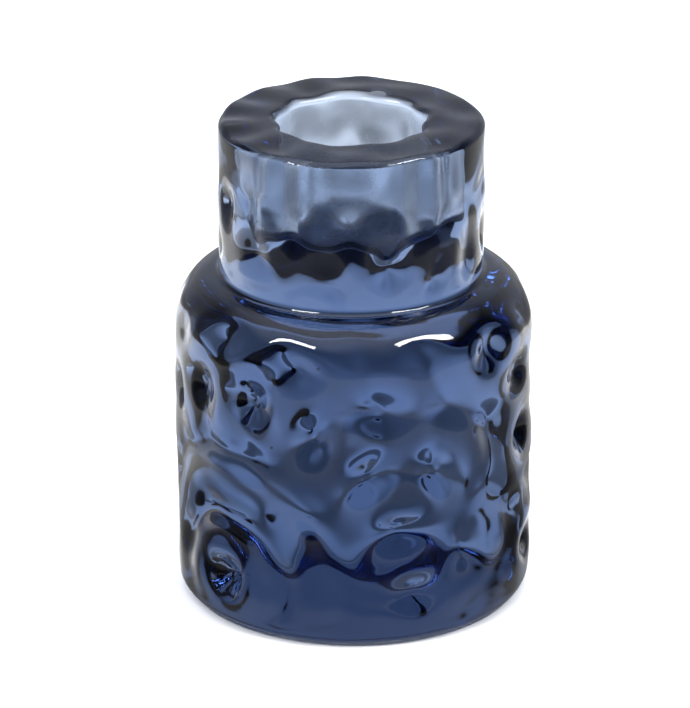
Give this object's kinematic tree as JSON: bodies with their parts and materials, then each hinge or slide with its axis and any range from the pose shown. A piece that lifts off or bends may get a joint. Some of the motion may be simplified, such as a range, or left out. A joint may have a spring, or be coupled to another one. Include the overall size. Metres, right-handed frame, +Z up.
{
  "type": "candlestick",
  "caption": "Solid glass candlestick with a hammered cylindrical body, a round shoulder, a thick neck and a blind socket for one dinner candle.",
  "frame": {"origin": "where the axis of the candle socket meets the flat resting face", "axes": "+Z up along the candle socket's axis, -Y towards the viewer at the front, +X to the viewer's right"},
  "size_m": [0.0579, 0.0579, 0.08],
  "materials": {
    "blue_glass": "fire-polished blue glass, tinted all through, with a hammered outer face and a smooth rim"
  },
  "bodies": {
    "root": {"glass_body": "blue_glass"}
  },
  "joints": []
}
